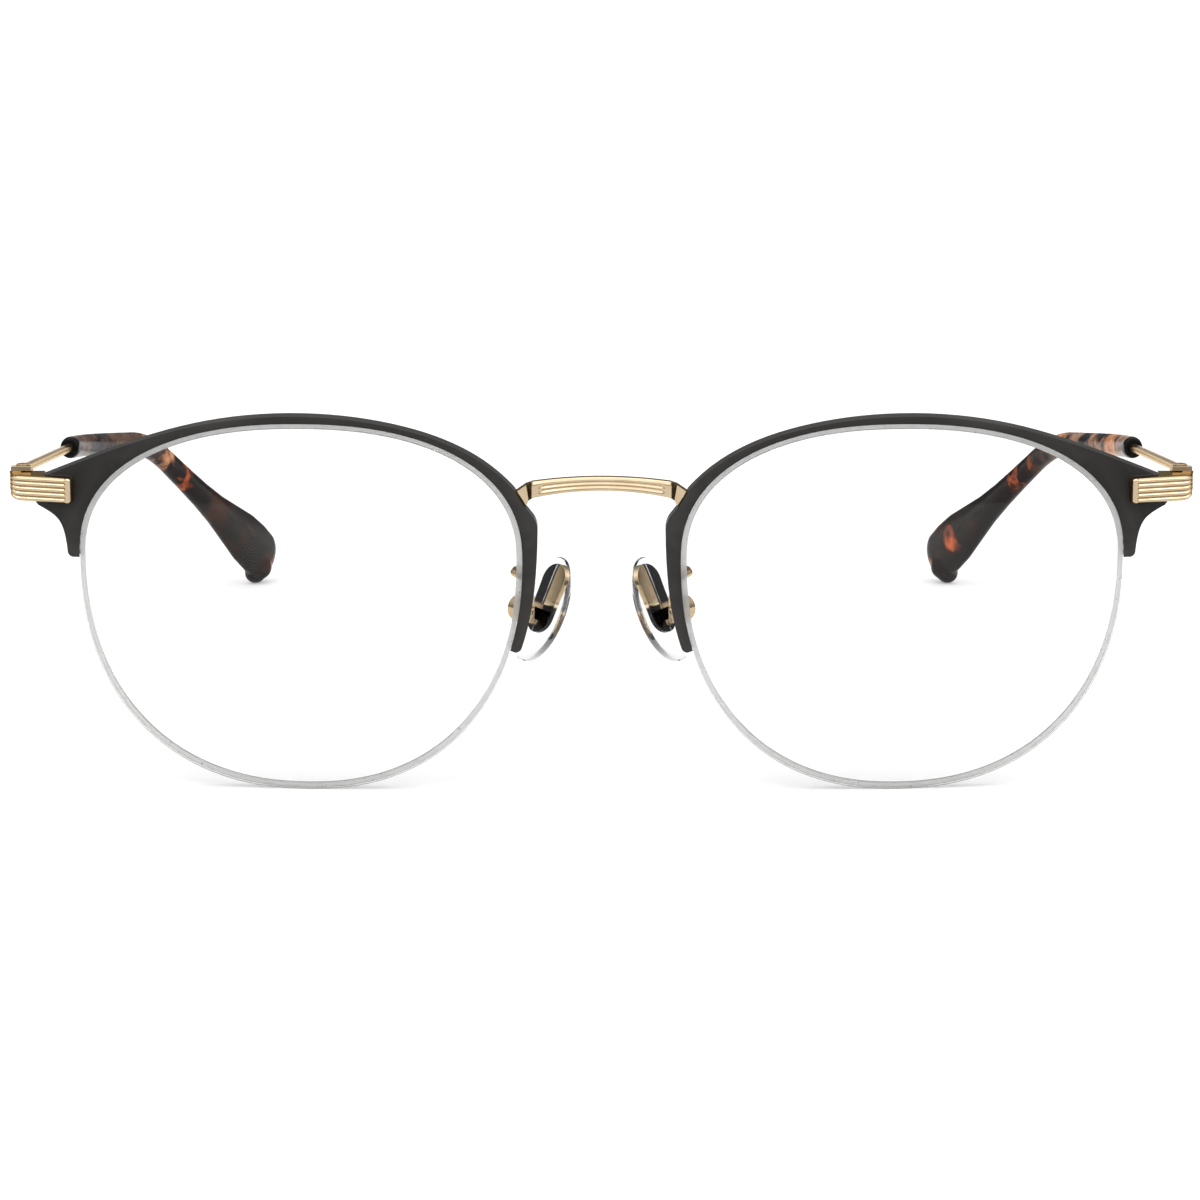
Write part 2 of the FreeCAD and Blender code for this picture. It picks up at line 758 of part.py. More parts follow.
# The box stands level: x forwards, y up, z towards the nose, about the pad screw.
BOX = FreeCAD.Placement(EYE.Base, FreeCAD.Rotation(PAD_FORWARD, UP, LEVEL_INWARD, "ZXY"))
half_box = size("box_width") / 2
half_rise = size("box_height") / 2
box_back = size("box_nose") - size("box_length")


def in_box(across, up, inward, rotation=FreeCAD.Rotation()):
    return BOX.multiply(at(across, up, inward, rotation))


round_end = bound("Cylinder", "box_round", in_box(-half_box, 0, box_back + half_rise, CROSS),
                  Radius="Sizes.box_height / 2", Height="Sizes.box_width")
square_end = bound("Box", "box_square", in_box(-half_box, -half_rise, box_back + half_rise),
                   Length="Sizes.box_width", Width="Sizes.box_height",
                   Height="Sizes.box_length - Sizes.box_height / 2")
box_slot = bound(
    "Box", "box_slot",
    in_box(-size("box_slot") / 2, -size("box_height"), -size("eye_size") / 2 - 0.15),
    Length="Sizes.box_slot", Width="Sizes.box_height + Sizes.slot_top", Height="Sizes.box_length")
pin_bore = bound("Cylinder", "pin_bore", in_box(-half_box - 1, 0, 0, CROSS),
                 Radius="Sizes.pad_screw_size / 2", Height="Sizes.box_width + 2")
past_nose = bound(
    "Box", "past_nose", in_box(-half_box - 1, -half_rise - 1, size("box_nose")),
    Length="Sizes.box_width + 2", Width="Sizes.box_height + 2", Height="Sizes.box_height")
box_shape = fuse("box_shape", round_end, square_end)
box_short = cut("box_short", box_shape, past_nose)
box_blank = cut("box_blank", box_short, box_slot)
pad_box = cut("pad_box", box_blank, pin_bore)
pad_screw = slotted_screw(
    "pad_screw", size("box_width"), "pad_screw_size", "pad_screw_head", "screw_head_height",
    in_box(half_box, 0, 0, FreeCAD.Rotation(Vector(0, 1, 0), 90)))

arm_foot = in_box(0, half_rise - 0.1, 0.2).Base
arm_path = rounded_path([
    Vector(9.3, 3.2, 25.0),
    Vector(10.2, 4.9, 25.1),
    Vector(10.0, 6.9, 25.1),
    Vector(arm_foot.x, arm_foot.y, 25.0),
    arm_foot,
], [0.9, 0.9, 0.8])
arm_wire = tube("arm_wire", arm_path, size("arm_size"))
arm_off_rim = cut("arm_off_rim", arm_wire, rim_blank)
arm = cut("arm", arm_off_rim, pad_box)

# ---------------------------------------------------------------- nodes

pair("lens", lens)
pair("rim", rim)
pair("rim_liner", liner)
pair("lens_thread", thread)
node("bridge", bridge)
pair("endpiece", endpiece)
pair("hinge_front", hinge_front)
pair("hinge_screw", hinge_screw)
pair("hinge_temple", hinge_temple)
pair("temple_wire", temple_wire)
pair("temple_tip", tip)
pair("nose_pad", pad)
pair("pad_insert", insert)
pair("pad_box", pad_box)
pair("pad_screw", pad_screw)
pair("pad_arm", arm)

doc.recompute()

for item in doc.Objects:
    if "Invalid" in item.State or "Error" in item.State:
        raise RuntimeError("%s failed: %s" % (item.Name, item.State))
for item in nodes:
    if item.Shape.isNull() or not item.Shape.isValid():
        raise RuntimeError("%s has no valid shape" % item.Name)

os.makedirs("parts", exist_ok=True)
for item in nodes:
    item.Shape.exportStep("parts/%s.step" % item.Label)
    box = item.Shape.BoundBox
    print("%-20s solids %d volume %9.3f  x %7.2f %7.2f  y %7.2f %7.2f  z %6.2f %6.2f" % (
        item.Label, len(item.Shape.Solids), item.Shape.Volume,
        box.XMin, box.XMax, box.YMin, box.YMax, box.ZMin, box.ZMax))
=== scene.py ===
"""Looks of the half rim eyeglasses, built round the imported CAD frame.

Everything is in metres in the part's own frame: +X towards the wearer's left, +Y back
along the temples, +Z up. Lengths are written in millimetres and multiplied by MM. Most
CAD pieces stay and get materials. The bridge, ribbed end pieces, nose pads and temple tips
are finer pieces made here, each in the place of its plain CAD solid. A fine line on each
rim, round its ribbed bar, is added.
"""
import bpy
import json
import math
from mathutils import Matrix, Vector


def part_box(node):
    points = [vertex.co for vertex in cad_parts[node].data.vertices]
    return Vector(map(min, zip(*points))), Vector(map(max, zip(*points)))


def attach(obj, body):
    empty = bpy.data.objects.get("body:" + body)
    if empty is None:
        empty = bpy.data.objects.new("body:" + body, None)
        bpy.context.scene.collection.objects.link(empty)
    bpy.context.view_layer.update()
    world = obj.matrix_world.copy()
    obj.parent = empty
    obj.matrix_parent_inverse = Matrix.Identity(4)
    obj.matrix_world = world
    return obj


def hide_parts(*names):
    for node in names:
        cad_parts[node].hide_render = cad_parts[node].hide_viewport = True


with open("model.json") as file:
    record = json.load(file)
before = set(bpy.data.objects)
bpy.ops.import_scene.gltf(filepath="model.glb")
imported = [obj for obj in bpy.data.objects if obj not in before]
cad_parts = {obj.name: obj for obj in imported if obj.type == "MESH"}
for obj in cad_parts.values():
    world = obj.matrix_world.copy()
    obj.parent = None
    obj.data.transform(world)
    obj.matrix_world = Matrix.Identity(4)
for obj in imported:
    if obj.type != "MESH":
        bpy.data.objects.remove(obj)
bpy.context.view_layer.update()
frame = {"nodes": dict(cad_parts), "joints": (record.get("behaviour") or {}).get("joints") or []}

MM = 0.001
UP = Vector((0, 0, 1))
SIDES = (("left", 1), ("right", -1))
JOINTS = {joint["name"]: joint for joint in frame["joints"]}
FRONT = Vector((0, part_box("left_lens")[0].y, 0))


def front(x, y, z):
    """A point measured in mm from the floor under the bridge, level with the lens fronts."""
    return FRONT + Vector((x, y, z)) * MM


def sided(point, side):
    """The point for the wearer's left, or its mirror image for the right."""
    return Vector((point.x * side, point.y, point.z))


# ---------------------------------------------------------------- meshes

def link(name, data, material, body):
    """A new piece that rides on a CAD body and takes its finish from a slot."""
    piece = bpy.data.objects.new(name, data)
    bpy.context.scene.collection.objects.link(piece)
    piece.data.materials.append(material)
    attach(piece, body)
    return piece


def skin(rings, side=1):
    """Vertices and faces of a surface through rings of equal length, capped at both ends."""
    count = len(rings[0])
    vertices = [point for ring in rings for point in ring]
    faces = []
    for row in range(len(rings) - 1):
        for column in range(count):
            after = (column + 1) % count
            low = row * count
            high = low + count
            faces.append((low + column, low + after, high + after, high + column))
    faces.append(tuple(reversed(range(count))))
    faces.append(tuple(range(len(vertices) - count, len(vertices))))
    if side < 0:
        faces = [tuple(reversed(face)) for face in faces]
    return vertices, faces


def joined(vertices, faces, more, more_faces):
    """Two meshes' vertices and faces as one."""
    first = len(vertices)
    shifted = [tuple(first + corner for corner in face) for face in more_faces]
    return vertices + more, faces + shifted


def smooth_mesh(name, vertices, faces):
    """A mesh with every face shaded smooth."""
    mesh = bpy.data.meshes.new(name)
    mesh.from_pydata(vertices, [], faces)
    mesh.update()
    mesh.polygons.foreach_set("use_smooth", [True] * len(mesh.polygons))
    return mesh


def applied(piece, kind, **settings):
    """Add a modifier and keep its result as the piece's mesh."""
    modifier = piece.modifiers.new(kind.title(), kind)
    for key, value in settings.items():
        setattr(modifier, key, value)
    graph = bpy.context.evaluated_depsgraph_get()
    result = bpy.data.meshes.new_from_object(piece.evaluated_get(graph))
    piece.modifiers.clear()
    old = piece.data
    piece.data = result
    bpy.data.meshes.remove(old)
    piece.data.polygons.foreach_set("use_smooth", [True] * len(piece.data.polygons))
    return piece


def rounded_path(points, radii, spacing):
    """Points along straight runs joined by tangent arcs."""
    path = [points[0]]

    def run_to(end):
        start = path[-1]
        count = max(1, round((end - start).length / spacing))
        path.extend(start.lerp(end, step / count) for step in range(1, count + 1))

    for before, corner, after, radius in zip(points, points[1:], points[2:], radii):
        inward = (corner - before).normalized()
        outward = (after - corner).normalized()
        turn = inward.angle(outward)
        reach = radius * math.tan(turn / 2)
        run_to(corner - inward * reach)
        centre = corner + (outward - inward).normalized() * (radius / math.cos(turn / 2))
        arm = path[-1] - centre
        axis = inward.cross(outward).normalized()
        count = max(2, round(radius * turn / spacing))
        for step in range(1, count + 1):
            path.append(centre + Matrix.Rotation(turn * step / count, 3, axis) @ arm)
    run_to(points[-1])
    return path


# ---------------------------------------------------------------- temple path

# The bends of the wire and tip, in mm from the hinge screw: outwards, back and up.
TEMPLE_POINTS = ((0.6, 2.6, 0.65), (0.15, 62.0, 0.65), (-7.2, 84.5, -0.1), (-20.6, 111.3, -17.05))
BEND_RADII = (60.0, 22.0)
TIP_START = 52.0 * MM
PATH_SPACING = 0.5 * MM


def temple_corners():
    """The bends of the left temple, from the hinge's own axes into the part's frame."""
    joint = JOINTS["left_temple_fold"]
    lean = Matrix.Rotation(-math.asin(abs(joint["axis"][1])), 3, "X")
    return [Vector(joint["pos_m"]) + lean @ (Vector(point) * MM) for point in TEMPLE_POINTS]


TEMPLE_PATH = rounded_path(temple_corners(), [radius * MM for radius in BEND_RADII], PATH_SPACING)
TIP_FACE = TEMPLE_PATH[round(TIP_START / PATH_SPACING)].y


def on_tip(from_end, side):
    """The point on a temple's middle line at a distance in mm before its end."""
    steps = round(from_end * MM / PATH_SPACING)
    if steps < 0:
        last = TEMPLE_PATH[-1] - TEMPLE_PATH[-2]
        return sided(TEMPLE_PATH[-1] - last * steps, side)
    return sided(TEMPLE_PATH[len(TEMPLE_PATH) - 1 - steps], side)


# ---------------------------------------------------------------- material helpers

class Finish:
    """A principled material and short ways to add texture nodes to it."""

    def __init__(self, name, color, roughness, metallic=0.0, **sockets):
        self.material = bpy.data.materials.new(name)
        self.material.use_nodes = True
        self.tree = self.material.node_tree
        self.shader = self.tree.nodes["Principled BSDF"]
        self.shader.inputs["Base Color"].default_value = (*color, 1)
        self.shader.inputs["Roughness"].default_value = roughness
        self.shader.inputs["Metallic"].default_value = metallic
        for key, value in sockets.items():
            self.shader.inputs[key.replace("_", " ")].default_value = value
        self.place = self.tree.nodes.new("ShaderNodeTexCoord").outputs["Object"]

    def add(self, kind, **inputs):
        """A shader node with its inputs set or linked."""
        node = self.tree.nodes.new("ShaderNode" + kind)
        for key, value in inputs.items():
            self.feed(node.inputs[key.replace("_", " ")], value)
        return node

    def feed(self, socket, value):
        """Link a socket to another, or set its value."""
        if isinstance(value, bpy.types.NodeSocket):
            self.tree.links.new(value, socket)
        else:
            socket.default_value = value

    def noise(self, size, detail=3.0, roughness=0.5, place=None, distortion=0.0):
        """Noise whose blotches are about size mm across."""
        node = self.add("TexNoise", Vector=place or self.place, Scale=1 / (size * MM),
                        Detail=detail, Roughness=roughness, Distortion=distortion)
        return node.outputs["Fac"]

    def ramp(self, value, *stops):
        """Colours, or greys, at positions along a value."""
        node = self.add("ValToRGB", Fac=value)
        elements = node.color_ramp.elements
        while len(elements) < len(stops):
            elements.new(0.5)
        for element, (position, color) in zip(elements, stops):
            element.position = position
            element.color = (*color, 1) if isinstance(color, tuple) else (color,) * 3 + (1,)
        return node.outputs["Color"]

    def math(self, operation, first, second=0.0):
        node = self.add("Math")
        node.operation = operation
        self.feed(node.inputs[0], first)
        self.feed(node.inputs[1], second)
        return node.outputs["Value"]

    def mix(self, share, first, second):
        """The first colour, passing into the second as the share goes from 0 to 1."""
        node = self.tree.nodes.new("ShaderNodeMix")
        node.data_type = "RGBA"
        self.feed(node.inputs["Factor"], share)
        for name, value in (("A", first), ("B", second)):
            socket = [item for item in node.inputs if item.name == name and item.type == "RGBA"][0]
            self.feed(socket, (*value, 1) if isinstance(value, tuple) else value)
        return [item for item in node.outputs if item.type == "RGBA"][0]

    def vector(self, operation, first, second=None, scale=None, output="Vector"):
        """Vector arithmetic; output is Value where the answer is a number."""
        node = self.add("VectorMath")
        node.operation = operation
        self.feed(node.inputs[0], first)
        if second is not None:
            self.feed(node.inputs[1], second)
        if scale is not None:
            node.inputs["Scale"].default_value = scale
        return node.outputs[output]

    def between(self, value, low, high):
        """A value from 0 to 1 spread over a range."""
        node = self.add("MapRange", Value=value, To_Min=low, To_Max=high)
        return node.outputs["Result"]

    def stretched(self, x, y, z):
        """The place coordinates with each axis scaled."""
        node = self.add("Mapping", Vector=self.place, Scale=(x, y, z))
        return node.outputs["Vector"]

    def color(self, value):
        self.feed(self.shader.inputs["Base Color"], value)

    def rough(self, value):
        self.feed(self.shader.inputs["Roughness"], value)

    def bump(self, height, depth, edge=0.0):
        """Bump of a depth in mm, over edges rounded to a radius in mm."""
        node = self.add("Bump", Height=height, Distance=depth * MM)
        if edge:
            bevel = self.add("Bevel", Radius=edge * MM)
            bevel.samples = 8
            self.feed(node.inputs["Normal"], bevel.outputs["Normal"])
        self.feed(self.shader.inputs["Normal"], node.outputs["Normal"])


# ---------------------------------------------------------------- finishes

def gold(name, color, roughness, edge):
    """Plated gold: fine drawn streaks, faint tone changes, and painted shade that turns it brown in the
    hollows.

    The roughness is an average, and edge is the radius in mm that edges are softened to.
    """
    finish = Finish(name, color, roughness, 1.0, Specular_Tint=(0.86, 0.7, 0.46, 1.0))
    streaks = finish.noise(0.12, 4.0, 0.6, finish.stretched(0.12, 0.12, 1.0))
    clouds = finish.noise(2.5, 2.0)
    deep = tuple(value * share for value, share in zip(color, (0.8, 0.72, 0.62)))
    tone = finish.mix(finish.ramp(clouds, (0.35, 0.0), (0.65, 0.35)), color, deep)
    # Painted shade: an ambient occlusion node darkens the colour to brown in hollows and grooves.
    occlusion = finish.add("AmbientOcclusion", Distance=0.3 * MM)
    occlusion.samples = 16
    painted_shade = finish.ramp(occlusion.outputs["AO"], (0.25, 0.8), (0.7, 0.0))
    shade_brown = tuple(value * share for value, share in zip(color, (0.36, 0.28, 0.2)))
    finish.color(finish.mix(painted_shade, tone, shade_brown))
    finish.rough(finish.between(streaks, roughness * 0.88, roughness * 1.14))
    finish.bump(streaks, 0.0002, edge)
    return finish.material


def black_lacquer(name="black_metal_finish", highlight_gain=1.0):
    """Satin near-black lacquer on sheet metal, a little paler on its sharpest edges; a gain above 1 makes
    every tone paler, a painted highlight.
    """
    finish = Finish(name, (0.012, 0.0112, 0.0108), 0.42,
                    Specular_IOR_Level=0.22)
    grain = finish.noise(0.09, 3.0, 0.6)
    clouds = finish.noise(4.0, 3.0)
    tones = [tuple(value * highlight_gain for value in shade)
             for shade in ((0.005, 0.0046, 0.0044), (0.0085, 0.0078, 0.0074))]
    tone = finish.mix(clouds, *tones)
    edge = finish.add("NewGeometry").outputs["Pointiness"]
    # Paler where Pointiness is high, on the sharpest edges.
    sharp_edges = finish.ramp(edge, (0.52, 0.0), (0.62, 0.5))
    finish.color(finish.mix(sharp_edges, tone, (0.05, 0.047, 0.044)))
    finish.rough(finish.between(grain, 0.36, 0.5))
    finish.bump(grain, 0.003, 0.09)
    return finish.material


def clear_glass():
    """Clear lens, finely ground on its edge, with an IOR set low so that it hardly reflects."""
    finish = Finish("lens_finish", (1.0, 1.0, 1.0), 0.0, Transmission_Weight=1.0, IOR=1.2)
    normal = finish.tree.nodes.new("ShaderNodeTexCoord").outputs["Normal"]
    split = finish.add("SeparateXYZ", Vector=normal)
    facing = finish.math("ABSOLUTE", split.outputs["Y"])
    edge = finish.ramp(facing, (0.45, 1.0), (0.6, 0.0))
    grind = finish.noise(0.15, 3.0)
    ground = finish.mix(grind, (0.95, 0.95, 0.945), (1.0, 1.0, 1.0))
    finish.color(finish.mix(edge, (1.0, 1.0, 1.0), ground))
    finish.rough(finish.math("MULTIPLY", edge, 0.4))
    finish.bump(finish.math("MULTIPLY", grind, edge), 0.004)
    return finish.material


def clear_nylon():
    """Slightly hazy nylon for the threads and the rims' liners."""
    finish = Finish("nylon_finish", (0.8, 0.8, 0.79), 0.3, Transmission_Weight=0.6, IOR=1.48)
    haze = finish.noise(0.6, 3.0)
    finish.color(finish.mix(haze, (0.72, 0.72, 0.71), (0.86, 0.86, 0.85)))
    finish.rough(finish.between(haze, 0.22, 0.4))
    finish.bump(haze, 0.004)
    return finish.material


def clear_silicone():
    """Clear, soft-looking silicone with a faint unevenness."""
    finish = Finish("silicone_finish", (0.97, 0.975, 0.98), 0.06, Transmission_Weight=1.0, IOR=1.16)
    haze = finish.noise(1.2, 4.0)
    finish.color(finish.mix(haze, (0.9, 0.905, 0.91), (0.97, 0.975, 0.98)))
    finish.rough(finish.between(haze, 0.02, 0.08))
    finish.bump(haze, 0.012)
    return finish.material


def patches(finish, places, side):
    """Ragged blots, each at a distance in mm before the tip's end and with a radius in mm."""
    jitter = finish.add("TexNoise", Vector=finish.place, Scale=1 / (1.7 * MM), Detail=3.0)
    centred = finish.vector("SUBTRACT", jitter.outputs["Color"], (0.5, 0.5, 0.5))
    total = None
    for from_end, radius in places:
        moved = finish.vector("SCALE", centred, scale=radius * 1.7 * MM)
        where = finish.vector("ADD", finish.place, moved)
        apart = finish.vector("DISTANCE", where, on_tip(from_end, side), output="Value")
        share = finish.ramp(finish.math("DIVIDE", apart, radius * MM), (0.6, 1.0), (1.0, 0.0))
        total = share if total is None else finish.math("MAXIMUM", total, share)
    return total


def tortoise(side, smoke, peach_places, red_places):
    """Polished acetate: nearly black, with pale smoke near the wire and warm blots."""
    name = "tortoise_finish_left" if side > 0 else "tortoise_finish_right"
    finish = Finish(name, (0.012, 0.007, 0.005), 0.2, IOR=1.16)
    fine = finish.noise(1.7, 4.0, 0.6, None, 0.9)
    broad = finish.noise(4.5, 3.0, 0.5, None, 0.5)
    ground = finish.mix(fine, (0.0045, 0.0042, 0.0042), (0.014, 0.0088, 0.0066))
    ground = finish.mix(finish.ramp(broad, (0.56, 0.0), (0.66, 0.6)), ground, (0.05, 0.017, 0.008))
    along = finish.add("SeparateXYZ", Vector=finish.place).outputs["Y"]
    travel = finish.add("MapRange", Value=along, From_Min=TIP_FACE, From_Max=TIP_FACE + 40 * MM)
    mottle = finish.noise(3.0, 3.0, 0.5)
    smoky = finish.ramp(mottle, (0.4, (0.016, 0.018, 0.02)), (0.6, smoke))
    share = finish.ramp(travel.outputs["Result"], (0.03, 0.9), (0.55, 0.75), (0.85, 0.0))
    shade = finish.mix(share, ground, smoky)
    peach = finish.ramp(fine, (0.3, (0.2, 0.07, 0.03)), (0.65, (0.56, 0.26, 0.13)))
    shade = finish.mix(patches(finish, peach_places, side), shade, peach)
    red = finish.ramp(fine, (0.3, (0.16, 0.03, 0.01)), (0.6, (0.5, 0.1, 0.03)))
    shade = finish.mix(patches(finish, red_places, side), shade, red)
    end_face = finish.ramp(travel.outputs["Result"], (0.026, 1.0), (0.04, 0.0))
    finish.color(finish.mix(end_face, shade, (0.003, 0.0028, 0.0026)))
    finish.rough(finish.between(fine, 0.14, 0.26))
    finish.bump(finish.noise(3.0, 2.0), 0.02)
    return finish.material


# The pads turn by the flare about the vertical, and lean in at the top by the splay.
PAD_FLARE = math.radians(32)
PAD_SPLAY = math.radians(25)
PAD_CENTRE = front(6.6, 9.0, 19.7)
PAD_WIDTH = 7.6 * MM
PAD_LENGTH = 13.0 * MM
PAD_THICKNESS = 2.3 * MM
CORE_HALF_WIDTH = 2.1
CORE_ENDS = (-2.8, 5.6)


def pad_axes():
    """The left pad's own axes: forwards, up along the pad, and towards the nose."""
    forward = Vector((-math.sin(PAD_FLARE), -math.cos(PAD_FLARE), 0))
    level = Vector((-math.cos(PAD_FLARE), math.sin(PAD_FLARE), 0))
    upward = UP * math.cos(PAD_SPLAY) + level * math.sin(PAD_SPLAY)
    inward = level * math.cos(PAD_SPLAY) - UP * math.sin(PAD_SPLAY)
    return forward, upward, inward


def insert_finish(name, side):
    """The pad's metal core: half gold, half near-black as painted shade, with a ridge, a seam painted pale
    as a highlight, and a gold patch.

    The patch stands in for the pad box, which shows beside the core in the photo.
    """
    finish = Finish(name + "_finish", (0.8, 0.63, 0.42), 0.14, 1.0)
    forward, upward, inward = [sided(axis, side) for axis in pad_axes()]

    def measured(axis):
        apart = finish.vector("SUBTRACT", finish.place, sided(PAD_CENTRE, side))
        along = finish.vector("DOT_PRODUCT", apart, axis, output="Value")
        return finish.math("DIVIDE", along, MM)

    across = finish.add("MapRange", Value=measured(forward), From_Min=-CORE_HALF_WIDTH,
                        From_Max=CORE_HALF_WIDTH)
    along = finish.add("MapRange", Value=measured(upward), From_Min=CORE_ENDS[0],
                       From_Max=CORE_ENDS[1])
    clouds = finish.noise(1.5, 3.0)
    golden = finish.mix(clouds, (0.8, 0.62, 0.4), (0.5, 0.36, 0.2))
    # Painted shade: this near-black, laid over half the core, stands for shade on the metal.
    black = finish.mix(clouds, (0.012, 0.012, 0.013), (0.045, 0.044, 0.046))
    half = finish.ramp(across.outputs["Result"], (0.5, 0.0), (0.54, 1.0))
    seam_and_highlight = finish.ramp(across.outputs["Result"], (0.4, 0.0), (0.43, 1.0), (0.46, 0.0))
    band = finish.ramp(along.outputs["Result"], (0.4, 0.0), (0.43, 1.0), (0.46, 1.0), (0.49, 0.0))
    ridge = finish.math("MULTIPLY", band, half)
    above = finish.ramp(along.outputs["Result"], (0.4, 0.0), (0.44, 1.0))
    low = finish.ramp(along.outputs["Result"], (0.08, 0.0), (0.12, 1.0), (0.38, 1.0), (0.42, 0.0))
    lens_side = finish.ramp(across.outputs["Result"], (0.5, 1.0), (0.54, 0.0))
    window = finish.math("MULTIPLY", low, lens_side)
    shade = finish.mix(finish.math("MULTIPLY", half, above), black, golden)
    shade = finish.mix(window, shade, golden)
    # Painted highlight: a pale line along the seam, which also gets a bump.
    shade = finish.mix(finish.math("MULTIPLY", seam_and_highlight, 0.8), shade, (0.8, 0.79, 0.76))
    finish.color(finish.mix(ridge, shade, (0.86, 0.7, 0.46)))
    finish.rough(finish.between(clouds, 0.1, 0.2))
    finish.bump(finish.math("ADD", ridge, seam_and_highlight), 0.08, 0.06)
    return finish.material


GOLD = gold("gold_metal_finish", (0.56, 0.445, 0.3), 0.17, 0.06)
SCREW_GOLD = gold("screw_metal_finish", (0.64, 0.51, 0.345), 0.17, 0.05)
BLACK = black_lacquer()
# The seat line's lacquer is 2.6 times paler: a painted highlight.
SEAT_LIT_BLACK = black_lacquer("seat_line_highlight_finish", 2.6)
GLASS = clear_glass()
NYLON = clear_nylon()
SILICONE = clear_silicone()

CAD_FINISHES = {
    "bridge": GOLD,
    "lens": GLASS,
    "rim": BLACK,
    "rim_liner": NYLON,
    "lens_thread": NYLON,
    "endpiece": GOLD,
    "hinge_front": GOLD,
    "hinge_screw": SCREW_GOLD,
    "hinge_temple": GOLD,
    "temple_wire": GOLD,
    "temple_tip": BLACK,
    "nose_pad": SILICONE,
    "pad_box": GOLD,
    "pad_screw": SCREW_GOLD,
    "pad_arm": GOLD,
}
for name, node in frame["nodes"].items():
    kind = name.removeprefix("left_").removeprefix("right_")
    node.data.materials.clear()
    if kind == "pad_insert":
        node.data.materials.append(insert_finish(name, 1 if name.startswith("left") else -1))
    else:
        node.data.materials.append(CAD_FINISHES[kind])

# ---------------------------------------------------------------- end pieces

BAR_START = front(61.1, 4.36, 34.7)
BAR_CORNER = front(68.0, 6.417, 34.7)
BAR_END = front(68.6, 10.2, 34.7)
BAR_CORNER_RADIUS = 0.9 * MM
BAR_HEIGHT = 2.9 * MM
BAR_THICKNESS = 1.05 * MM
RIB_HEIGHT = 0.2 * MM
RIB_COUNT = 5
BORDER_WIDTH = 0.62 * MM
BORDER_STEP = 0.16 * MM
BAR_END_ROUNDING = 0.45 * MM
BAR_EDGE_ROUNDING = 0.24 * MM
BAR_TAPER = 0.62 * MM
BAR_TAPER_LENGTH = 2.4 * MM
BAR_SPACING = 0.07 * MM
# Opposite corners of the block behind the bar, in mm from under the bridge.
BLOCK_LOW = (64.6, 6.6, 33.35)
BLOCK_HIGH = (67.8, 10.2, 36.05)


def eased(value, start, end):
    """0 before start, 1 after end, and smooth between them."""
    share = min(1.0, max(0.0, (value - start) / (end - start)))
    return share * share * (3 - 2 * share)


def rounding(distance, radius):
    """How far a rounded edge lies back at a distance from the end of the piece."""
    if distance >= radius:
        return 0.0
    return radius - math.sqrt(radius ** 2 - (radius - distance) ** 2)


def rib_relief(share):
    """Height of the ribs, from 0 in a groove to 1 on a crest, at a share of the bar's height."""
    across = (share * RIB_COUNT) % 1.0
    return math.sin(math.pi * across)


def ribbed_bar(label, side):
    """A bar with a smooth border at its inner end and five ribs that wrap its corner."""
    path = rounded_path([BAR_START, BAR_CORNER, BAR_END], [BAR_CORNER_RADIUS], BAR_SPACING)
    steps = 60
    rings = []
    travelled = 0.0
    turn_start = (BAR_CORNER - BAR_START).length - BAR_CORNER_RADIUS
    for index, point in enumerate(path):
        if index:
            travelled += (point - path[index - 1]).length
        ahead = path[min(index + 1, len(path) - 1)]
        behind = path[max(index - 1, 0)]
        direction = (ahead - behind).normalized()
        outward = direction.cross(UP)
        ribs = eased(travelled, BORDER_WIDTH, BORDER_WIDTH + BORDER_STEP)
        corner = rounding(travelled, BAR_END_ROUNDING)
        low = -BAR_HEIGHT / 2 + corner
        low += BAR_TAPER * eased(travelled, turn_start, turn_start + BAR_TAPER_LENGTH)
        high = BAR_HEIGHT / 2 - corner * 0.7
        back = rounding(travelled, BORDER_STEP)
        ring = []
        for step in range(steps + 1):
            share = step / steps
            height = low + (high - low) * share
            relief = 1 - ribs * (1 - rib_relief(share) * 0.96)
            edge = min(share, 1 - share) * (high - low)
            proud = RIB_HEIGHT * relief - rounding(edge, BAR_EDGE_ROUNDING) - back
            ring.append(sided(point + outward * proud + UP * height, side))
        inner = point - outward * BAR_THICKNESS
        ring.append(sided(inner + UP * high, side))
        ring.append(sided(inner + UP * low, side))
        rings.append(ring)
    vertices, faces = skin(rings, side)
    low = front(*BLOCK_LOW)
    high = front(*BLOCK_HIGH)
    block_rings = [
        [sided(Vector((x, y, z)), side) for x, z in
         ((low.x, low.z), (high.x, low.z), (high.x, high.z), (low.x, high.z))]
        for y in (low.y, high.y)
    ]
    vertices, faces = joined(vertices, faces, *skin(block_rings, -side))
    mesh = smooth_mesh(label + "_ribbed_bar", vertices, faces)
    piece = link(label + "_ribbed_bar", mesh, GOLD, "front")
    piece.data.set_sharp_from_angle(angle=math.radians(35))
    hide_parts(label + "_endpiece")
    return piece


for label, side in SIDES:
    ribbed_bar(label, side)

# ---------------------------------------------------------------- bridge

# In mm from under the bridge. Tops and bottoms are z in the middle and at the ends, and the
# flutes are shares of the height.
BRIDGE_HALF = 8.0
BRIDGE_TOP = (37.16, 36.59)
BRIDGE_BOTTOM = (35.55, 34.68)
BRIDGE_FACE = 0.1
BRIDGE_DEPTH = 1.6
FLUTES = (0.36, 0.63)
FLUTE_DEPTH = 0.17
FLUTE_WIDTH = 0.1
FLUTE_START = 0.7
FLUTE_FULL = 1.3
TOP_ROUNDING = 0.5
BOTTOM_ROUNDING = 0.2
END_ROUNDING = 0.12
# Sections of a neck: top and bottom corner (x, z), then front and back y.
NECK = (
    ((7.9, 36.5), (7.9, 34.72), 0.2, 1.6),
    ((8.66, 36.02), (8.36, 34.2), 1.3, 2.95),
    ((10.0, 35.0), (8.8, 33.2), 1.75, 3.5),
)


